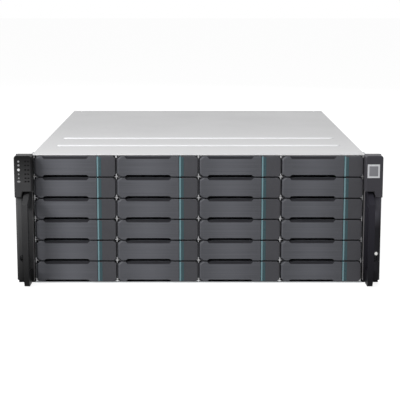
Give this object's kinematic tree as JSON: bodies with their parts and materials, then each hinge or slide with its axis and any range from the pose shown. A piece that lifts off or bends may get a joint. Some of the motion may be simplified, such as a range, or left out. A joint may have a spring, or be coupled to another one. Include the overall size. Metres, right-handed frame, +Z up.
{
  "type": "rack storage array",
  "caption": "Rack-mount storage array chassis with lever-handled drive trays in front, two rack ears, and slide-out controllers and power supplies at the rear.",
  "frame": {"origin": "middle of the chassis underside", "axes": "+X to the right seen from the front, +Y to the rear, +Z up; the drive trays face -Y"},
  "size_m": [0.4826, 0.5704, 0.176],
  "materials": {
    "steel_sheet": "zinc-plated sheet steel",
    "board": "green solder mask with black connectors",
    "tray": "cast and pressed metal behind a dark moulded end block",
    "lever": "dark grey fine-textured moulding",
    "ear": "black satin moulding on a steel angle",
    "module": "zinc-plated canister",
    "fan": "black moulding"
  },
  "bodies": {
    "chassis": {"chassis_tub": "steel_sheet", "top_cover": "steel_sheet", "drive_cage": "steel_sheet", "midplane": "board", "left_ear": "ear", "right_ear": "ear"},
    "controller_a": {"controller_a": "module"},
    "controller_b": {"controller_b": "module"},
    "power_supply_a": {"power_supply_a": "module"},
    "power_supply_b": {"power_supply_b": "module"},
    "fan_rotor_a": {"fan_rotor_a": "fan"},
    "fan_rotor_b": {"fan_rotor_b": "fan"},
    "drive_tray_r1c1": {"drive_tray_r1c1": "tray"},
    "tray_lever_r1c1": {"tray_lever_r1c1": "lever"},
    "drive_tray_r1c2": {"drive_tray_r1c2": "tray"},
    "tray_lever_r1c2": {"tray_lever_r1c2": "lever"},
    "drive_tray_r1c3": {"drive_tray_r1c3": "tray"},
    "tray_lever_r1c3": {"tray_lever_r1c3": "lever"},
    "drive_tray_r1c4": {"drive_tray_r1c4": "tray"},
    "tray_lever_r1c4": {"tray_lever_r1c4": "lever"},
    "drive_tray_r2c1": {"drive_tray_r2c1": "tray"},
    "tray_lever_r2c1": {"tray_lever_r2c1": "lever"},
    "drive_tray_r2c2": {"drive_tray_r2c2": "tray"},
    "tray_lever_r2c2": {"tray_lever_r2c2": "lever"},
    "drive_tray_r2c3": {"drive_tray_r2c3": "tray"},
    "tray_lever_r2c3": {"tray_lever_r2c3": "lever"},
    "drive_tray_r2c4": {"drive_tray_r2c4": "tray"},
    "tray_lever_r2c4": {"tray_lever_r2c4": "lever"},
    "drive_tray_r3c1": {"drive_tray_r3c1": "tray"},
    "tray_lever_r3c1": {"tray_lever_r3c1": "lever"},
    "drive_tray_r3c2": {"drive_tray_r3c2": "tray"},
    "tray_lever_r3c2": {"tray_lever_r3c2": "lever"},
    "drive_tray_r3c3": {"drive_tray_r3c3": "tray"},
    "tray_lever_r3c3": {"tray_lever_r3c3": "lever"},
    "drive_tray_r3c4": {"drive_tray_r3c4": "tray"},
    "tray_lever_r3c4": {"tray_lever_r3c4": "lever"},
    "drive_tray_r4c1": {"drive_tray_r4c1": "tray"},
    "tray_lever_r4c1": {"tray_lever_r4c1": "lever"},
    "drive_tray_r4c2": {"drive_tray_r4c2": "tray"},
    "tray_lever_r4c2": {"tray_lever_r4c2": "lever"},
    "drive_tray_r4c3": {"drive_tray_r4c3": "tray"},
    "tray_lever_r4c3": {"tray_lever_r4c3": "lever"},
    "drive_tray_r4c4": {"drive_tray_r4c4": "tray"},
    "tray_lever_r4c4": {"tray_lever_r4c4": "lever"},
    "drive_tray_r5c1": {"drive_tray_r5c1": "tray"},
    "tray_lever_r5c1": {"tray_lever_r5c1": "lever"},
    "drive_tray_r5c2": {"drive_tray_r5c2": "tray"},
    "tray_lever_r5c2": {"tray_lever_r5c2": "lever"},
    "drive_tray_r5c3": {"drive_tray_r5c3": "tray"},
    "tray_lever_r5c3": {"tray_lever_r5c3": "lever"},
    "drive_tray_r5c4": {"drive_tray_r5c4": "tray"},
    "tray_lever_r5c4": {"tray_lever_r5c4": "lever"},
    "drive_tray_r6c1": {"drive_tray_r6c1": "tray"},
    "tray_lever_r6c1": {"tray_lever_r6c1": "lever"},
    "drive_tray_r6c2": {"drive_tray_r6c2": "tray"},
    "tray_lever_r6c2": {"tray_lever_r6c2": "lever"},
    "drive_tray_r6c3": {"drive_tray_r6c3": "tray"},
    "tray_lever_r6c3": {"tray_lever_r6c3": "lever"},
    "drive_tray_r6c4": {"drive_tray_r6c4": "tray"},
    "tray_lever_r6c4": {"tray_lever_r6c4": "lever"}
  },
  "joints": [
    {"name": "controller_a_slide", "type": "slide", "parent": "chassis", "child": "controller_a", "axis": [0, 1, 0], "range_m": [0, 0.2]},
    {"name": "controller_b_slide", "type": "slide", "parent": "chassis", "child": "controller_b", "axis": [0, 1, 0], "range_m": [0, 0.2]},
    {"name": "power_supply_a_slide", "type": "slide", "parent": "chassis", "child": "power_supply_a", "axis": [0, 1, 0], "range_m": [0, 0.2]},
    {"name": "power_supply_b_slide", "type": "slide", "parent": "chassis", "child": "power_supply_b", "axis": [0, 1, 0], "range_m": [0, 0.2]},
    {"name": "fan_rotor_a_spin", "type": "hinge", "parent": "power_supply_a", "child": "fan_rotor_a", "pos_m": [-0.1654, 0.254, 0.04362], "axis": [0, 1, 0], "continuous": true},
    {"name": "fan_rotor_b_spin", "type": "hinge", "parent": "power_supply_b", "child": "fan_rotor_b", "pos_m": [0.0534, 0.254, 0.04362], "axis": [0, 1, 0], "continuous": true},
    {"name": "drive_tray_r1c1_slide", "type": "slide", "parent": "chassis", "child": "drive_tray_r1c1", "axis": [0, -1, 0], "range_m": [0, 0.13]},
    {"name": "tray_lever_r1c1_hinge", "type": "hinge", "parent": "drive_tray_r1c1", "child": "tray_lever_r1c1", "pos_m": [-0.2128, -0.2551, 0.15877], "axis": [0, 0, -1], "range_deg": [0, 45]},
    {"name": "drive_tray_r1c2_slide", "type": "slide", "parent": "chassis", "child": "drive_tray_r1c2", "axis": [0, -1, 0], "range_m": [0, 0.13]},
    {"name": "tray_lever_r1c2_hinge", "type": "hinge", "parent": "drive_tray_r1c2", "child": "tray_lever_r1c2", "pos_m": [-0.1038, -0.2551, 0.15877], "axis": [0, 0, -1], "range_deg": [0, 45]},
    {"name": "drive_tray_r1c3_slide", "type": "slide", "parent": "chassis", "child": "drive_tray_r1c3", "axis": [0, -1, 0], "range_m": [0, 0.13]},
    {"name": "tray_lever_r1c3_hinge", "type": "hinge", "parent": "drive_tray_r1c3", "child": "tray_lever_r1c3", "pos_m": [0.0052, -0.2551, 0.15877], "axis": [0, 0, -1], "range_deg": [0, 45]},
    {"name": "drive_tray_r1c4_slide", "type": "slide", "parent": "chassis", "child": "drive_tray_r1c4", "axis": [0, -1, 0], "range_m": [0, 0.13]},
    {"name": "tray_lever_r1c4_hinge", "type": "hinge", "parent": "drive_tray_r1c4", "child": "tray_lever_r1c4", "pos_m": [0.1142, -0.2551, 0.15877], "axis": [0, 0, -1], "range_deg": [0, 45]},
    {"name": "drive_tray_r2c1_slide", "type": "slide", "parent": "chassis", "child": "drive_tray_r2c1", "axis": [0, -1, 0], "range_m": [0, 0.13]},
    {"name": "tray_lever_r2c1_hinge", "type": "hinge", "parent": "drive_tray_r2c1", "child": "tray_lever_r2c1", "pos_m": [-0.2128, -0.2551, 0.13032], "axis": [0, 0, -1], "range_deg": [0, 45]},
    {"name": "drive_tray_r2c2_slide", "type": "slide", "parent": "chassis", "child": "drive_tray_r2c2", "axis": [0, -1, 0], "range_m": [0, 0.13]},
    {"name": "tray_lever_r2c2_hinge", "type": "hinge", "parent": "drive_tray_r2c2", "child": "tray_lever_r2c2", "pos_m": [-0.1038, -0.2551, 0.13032], "axis": [0, 0, -1], "range_deg": [0, 45]},
    {"name": "drive_tray_r2c3_slide", "type": "slide", "parent": "chassis", "child": "drive_tray_r2c3", "axis": [0, -1, 0], "range_m": [0, 0.13]},
    {"name": "tray_lever_r2c3_hinge", "type": "hinge", "parent": "drive_tray_r2c3", "child": "tray_lever_r2c3", "pos_m": [0.0052, -0.2551, 0.13032], "axis": [0, 0, -1], "range_deg": [0, 45]},
    {"name": "drive_tray_r2c4_slide", "type": "slide", "parent": "chassis", "child": "drive_tray_r2c4", "axis": [0, -1, 0], "range_m": [0, 0.13]},
    {"name": "tray_lever_r2c4_hinge", "type": "hinge", "parent": "drive_tray_r2c4", "child": "tray_lever_r2c4", "pos_m": [0.1142, -0.2551, 0.13032], "axis": [0, 0, -1], "range_deg": [0, 45]},
    {"name": "drive_tray_r3c1_slide", "type": "slide", "parent": "chassis", "child": "drive_tray_r3c1", "axis": [0, -1, 0], "range_m": [0, 0.13]},
    {"name": "tray_lever_r3c1_hinge", "type": "hinge", "parent": "drive_tray_r3c1", "child": "tray_lever_r3c1", "pos_m": [-0.2128, -0.2551, 0.10187], "axis": [0, 0, -1], "range_deg": [0, 45]},
    {"name": "drive_tray_r3c2_slide", "type": "slide", "parent": "chassis", "child": "drive_tray_r3c2", "axis": [0, -1, 0], "range_m": [0, 0.13]},
    {"name": "tray_lever_r3c2_hinge", "type": "hinge", "parent": "drive_tray_r3c2", "child": "tray_lever_r3c2", "pos_m": [-0.1038, -0.2551, 0.10187], "axis": [0, 0, -1], "range_deg": [0, 45]},
    {"name": "drive_tray_r3c3_slide", "type": "slide", "parent": "chassis", "child": "drive_tray_r3c3", "axis": [0, -1, 0], "range_m": [0, 0.13]},
    {"name": "tray_lever_r3c3_hinge", "type": "hinge", "parent": "drive_tray_r3c3", "child": "tray_lever_r3c3", "pos_m": [0.0052, -0.2551, 0.10187], "axis": [0, 0, -1], "range_deg": [0, 45]},
    {"name": "drive_tray_r3c4_slide", "type": "slide", "parent": "chassis", "child": "drive_tray_r3c4", "axis": [0, -1, 0], "range_m": [0, 0.13]},
    {"name": "tray_lever_r3c4_hinge", "type": "hinge", "parent": "drive_tray_r3c4", "child": "tray_lever_r3c4", "pos_m": [0.1142, -0.2551, 0.10187], "axis": [0, 0, -1], "range_deg": [0, 45]},
    {"name": "drive_tray_r4c1_slide", "type": "slide", "parent": "chassis", "child": "drive_tray_r4c1", "axis": [0, -1, 0], "range_m": [0, 0.13]},
    {"name": "tray_lever_r4c1_hinge", "type": "hinge", "parent": "drive_tray_r4c1", "child": "tray_lever_r4c1", "pos_m": [-0.2128, -0.2551, 0.07343], "axis": [0, 0, -1], "range_deg": [0, 45]},
    {"name": "drive_tray_r4c2_slide", "type": "slide", "parent": "chassis", "child": "drive_tray_r4c2", "axis": [0, -1, 0], "range_m": [0, 0.13]},
    {"name": "tray_lever_r4c2_hinge", "type": "hinge", "parent": "drive_tray_r4c2", "child": "tray_lever_r4c2", "pos_m": [-0.1038, -0.2551, 0.07343], "axis": [0, 0, -1], "range_deg": [0, 45]},
    {"name": "drive_tray_r4c3_slide", "type": "slide", "parent": "chassis", "child": "drive_tray_r4c3", "axis": [0, -1, 0], "range_m": [0, 0.13]},
    {"name": "tray_lever_r4c3_hinge", "type": "hinge", "parent": "drive_tray_r4c3", "child": "tray_lever_r4c3", "pos_m": [0.0052, -0.2551, 0.07343], "axis": [0, 0, -1], "range_deg": [0, 45]},
    {"name": "drive_tray_r4c4_slide", "type": "slide", "parent": "chassis", "child": "drive_tray_r4c4", "axis": [0, -1, 0], "range_m": [0, 0.13]},
    {"name": "tray_lever_r4c4_hinge", "type": "hinge", "parent": "drive_tray_r4c4", "child": "tray_lever_r4c4", "pos_m": [0.1142, -0.2551, 0.07343], "axis": [0, 0, -1], "range_deg": [0, 45]},
    {"name": "drive_tray_r5c1_slide", "type": "slide", "parent": "chassis", "child": "drive_tray_r5c1", "axis": [0, -1, 0], "range_m": [0, 0.13]},
    {"name": "tray_lever_r5c1_hinge", "type": "hinge", "parent": "drive_tray_r5c1", "child": "tray_lever_r5c1", "pos_m": [-0.2128, -0.2551, 0.04498], "axis": [0, 0, -1], "range_deg": [0, 45]},
    {"name": "drive_tray_r5c2_slide", "type": "slide", "parent": "chassis", "child": "drive_tray_r5c2", "axis": [0, -1, 0], "range_m": [0, 0.13]},
    {"name": "tray_lever_r5c2_hinge", "type": "hinge", "parent": "drive_tray_r5c2", "child": "tray_lever_r5c2", "pos_m": [-0.1038, -0.2551, 0.04498], "axis": [0, 0, -1], "range_deg": [0, 45]},
    {"name": "drive_tray_r5c3_slide", "type": "slide", "parent": "chassis", "child": "drive_tray_r5c3", "axis": [0, -1, 0], "range_m": [0, 0.13]},
    {"name": "tray_lever_r5c3_hinge", "type": "hinge", "parent": "drive_tray_r5c3", "child": "tray_lever_r5c3", "pos_m": [0.0052, -0.2551, 0.04498], "axis": [0, 0, -1], "range_deg": [0, 45]},
    {"name": "drive_tray_r5c4_slide", "type": "slide", "parent": "chassis", "child": "drive_tray_r5c4", "axis": [0, -1, 0], "range_m": [0, 0.13]},
    {"name": "tray_lever_r5c4_hinge", "type": "hinge", "parent": "drive_tray_r5c4", "child": "tray_lever_r5c4", "pos_m": [0.1142, -0.2551, 0.04498], "axis": [0, 0, -1], "range_deg": [0, 45]},
    {"name": "drive_tray_r6c1_slide", "type": "slide", "parent": "chassis", "child": "drive_tray_r6c1", "axis": [0, -1, 0], "range_m": [0, 0.13]},
    {"name": "tray_lever_r6c1_hinge", "type": "hinge", "parent": "drive_tray_r6c1", "child": "tray_lever_r6c1", "pos_m": [-0.2128, -0.2551, 0.01653], "axis": [0, 0, -1], "range_deg": [0, 45]},
    {"name": "drive_tray_r6c2_slide", "type": "slide", "parent": "chassis", "child": "drive_tray_r6c2", "axis": [0, -1, 0], "range_m": [0, 0.13]},
    {"name": "tray_lever_r6c2_hinge", "type": "hinge", "parent": "drive_tray_r6c2", "child": "tray_lever_r6c2", "pos_m": [-0.1038, -0.2551, 0.01653], "axis": [0, 0, -1], "range_deg": [0, 45]},
    {"name": "drive_tray_r6c3_slide", "type": "slide", "parent": "chassis", "child": "drive_tray_r6c3", "axis": [0, -1, 0], "range_m": [0, 0.13]},
    {"name": "tray_lever_r6c3_hinge", "type": "hinge", "parent": "drive_tray_r6c3", "child": "tray_lever_r6c3", "pos_m": [0.0052, -0.2551, 0.01653], "axis": [0, 0, -1], "range_deg": [0, 45]},
    {"name": "drive_tray_r6c4_slide", "type": "slide", "parent": "chassis", "child": "drive_tray_r6c4", "axis": [0, -1, 0], "range_m": [0, 0.13]},
    {"name": "tray_lever_r6c4_hinge", "type": "hinge", "parent": "drive_tray_r6c4", "child": "tray_lever_r6c4", "pos_m": [0.1142, -0.2551, 0.01653], "axis": [0, 0, -1], "range_deg": [0, 45]}
  ]
}
